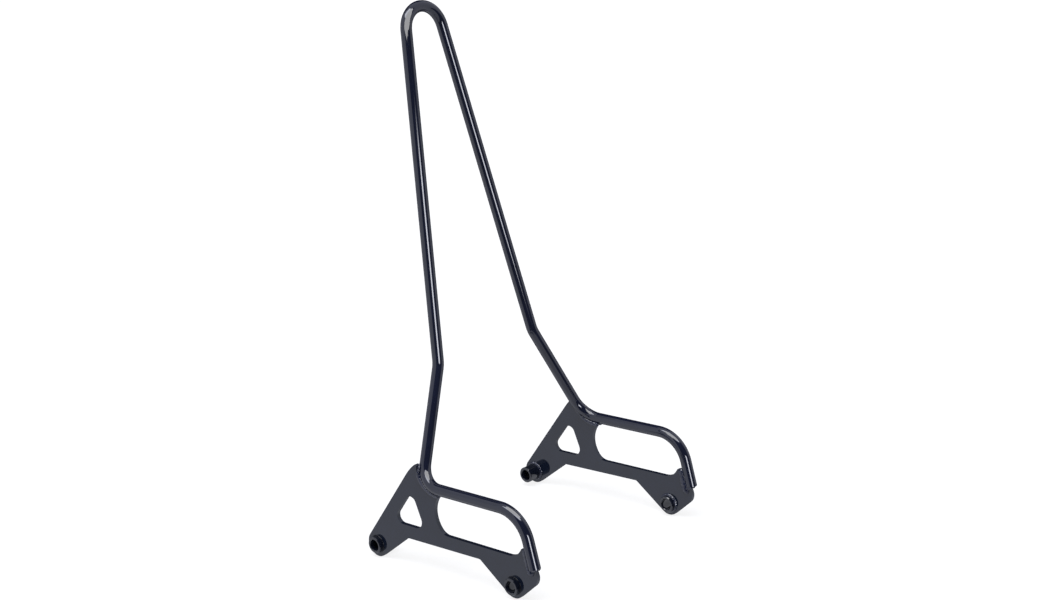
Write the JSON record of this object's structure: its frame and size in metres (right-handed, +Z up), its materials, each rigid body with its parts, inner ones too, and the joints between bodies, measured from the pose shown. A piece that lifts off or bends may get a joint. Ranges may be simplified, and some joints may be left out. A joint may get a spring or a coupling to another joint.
{
  "type": "sissy bar",
  "caption": "Tall hairpin passenger backrest bar of bent round rod, welded to flat cut-out side plates with bolt bushes that fix it to a motorbike's rear fender struts.",
  "frame": {"origin": "on the floor under the middle of the part, which stands on the rounded lobes of its plates", "axes": "+X to the front of the bike, +Y to its left side, +Z up"},
  "size_m": [0.2584, 0.2814, 0.6015],
  "materials": {
    "bar": "gloss black paint",
    "plate": "gloss black paint",
    "bush": "gloss black paint",
    "weld": "gloss black paint over rippled weld"
  },
  "bodies": {
    "root": {"hoop": "bar", "right_side_plate": "plate", "right_rear_bush": "bush", "right_front_bush": "bush", "right_rear_bush_outer_weld": "weld", "right_rear_bush_inner_weld": "weld", "right_front_bush_outer_weld": "weld", "right_front_bush_inner_weld": "weld", "right_base_bend_outer_weld": "weld", "right_base_bend_inner_weld": "weld", "right_foot_outer_weld": "weld", "right_foot_inner_weld": "weld", "left_side_plate": "plate", "left_rear_bush": "bush", "left_front_bush": "bush", "left_rear_bush_outer_weld": "weld", "left_rear_bush_inner_weld": "weld", "left_front_bush_outer_weld": "weld", "left_front_bush_inner_weld": "weld", "left_base_bend_outer_weld": "weld", "left_base_bend_inner_weld": "weld", "left_foot_outer_weld": "weld", "left_foot_inner_weld": "weld"}
  },
  "joints": []
}
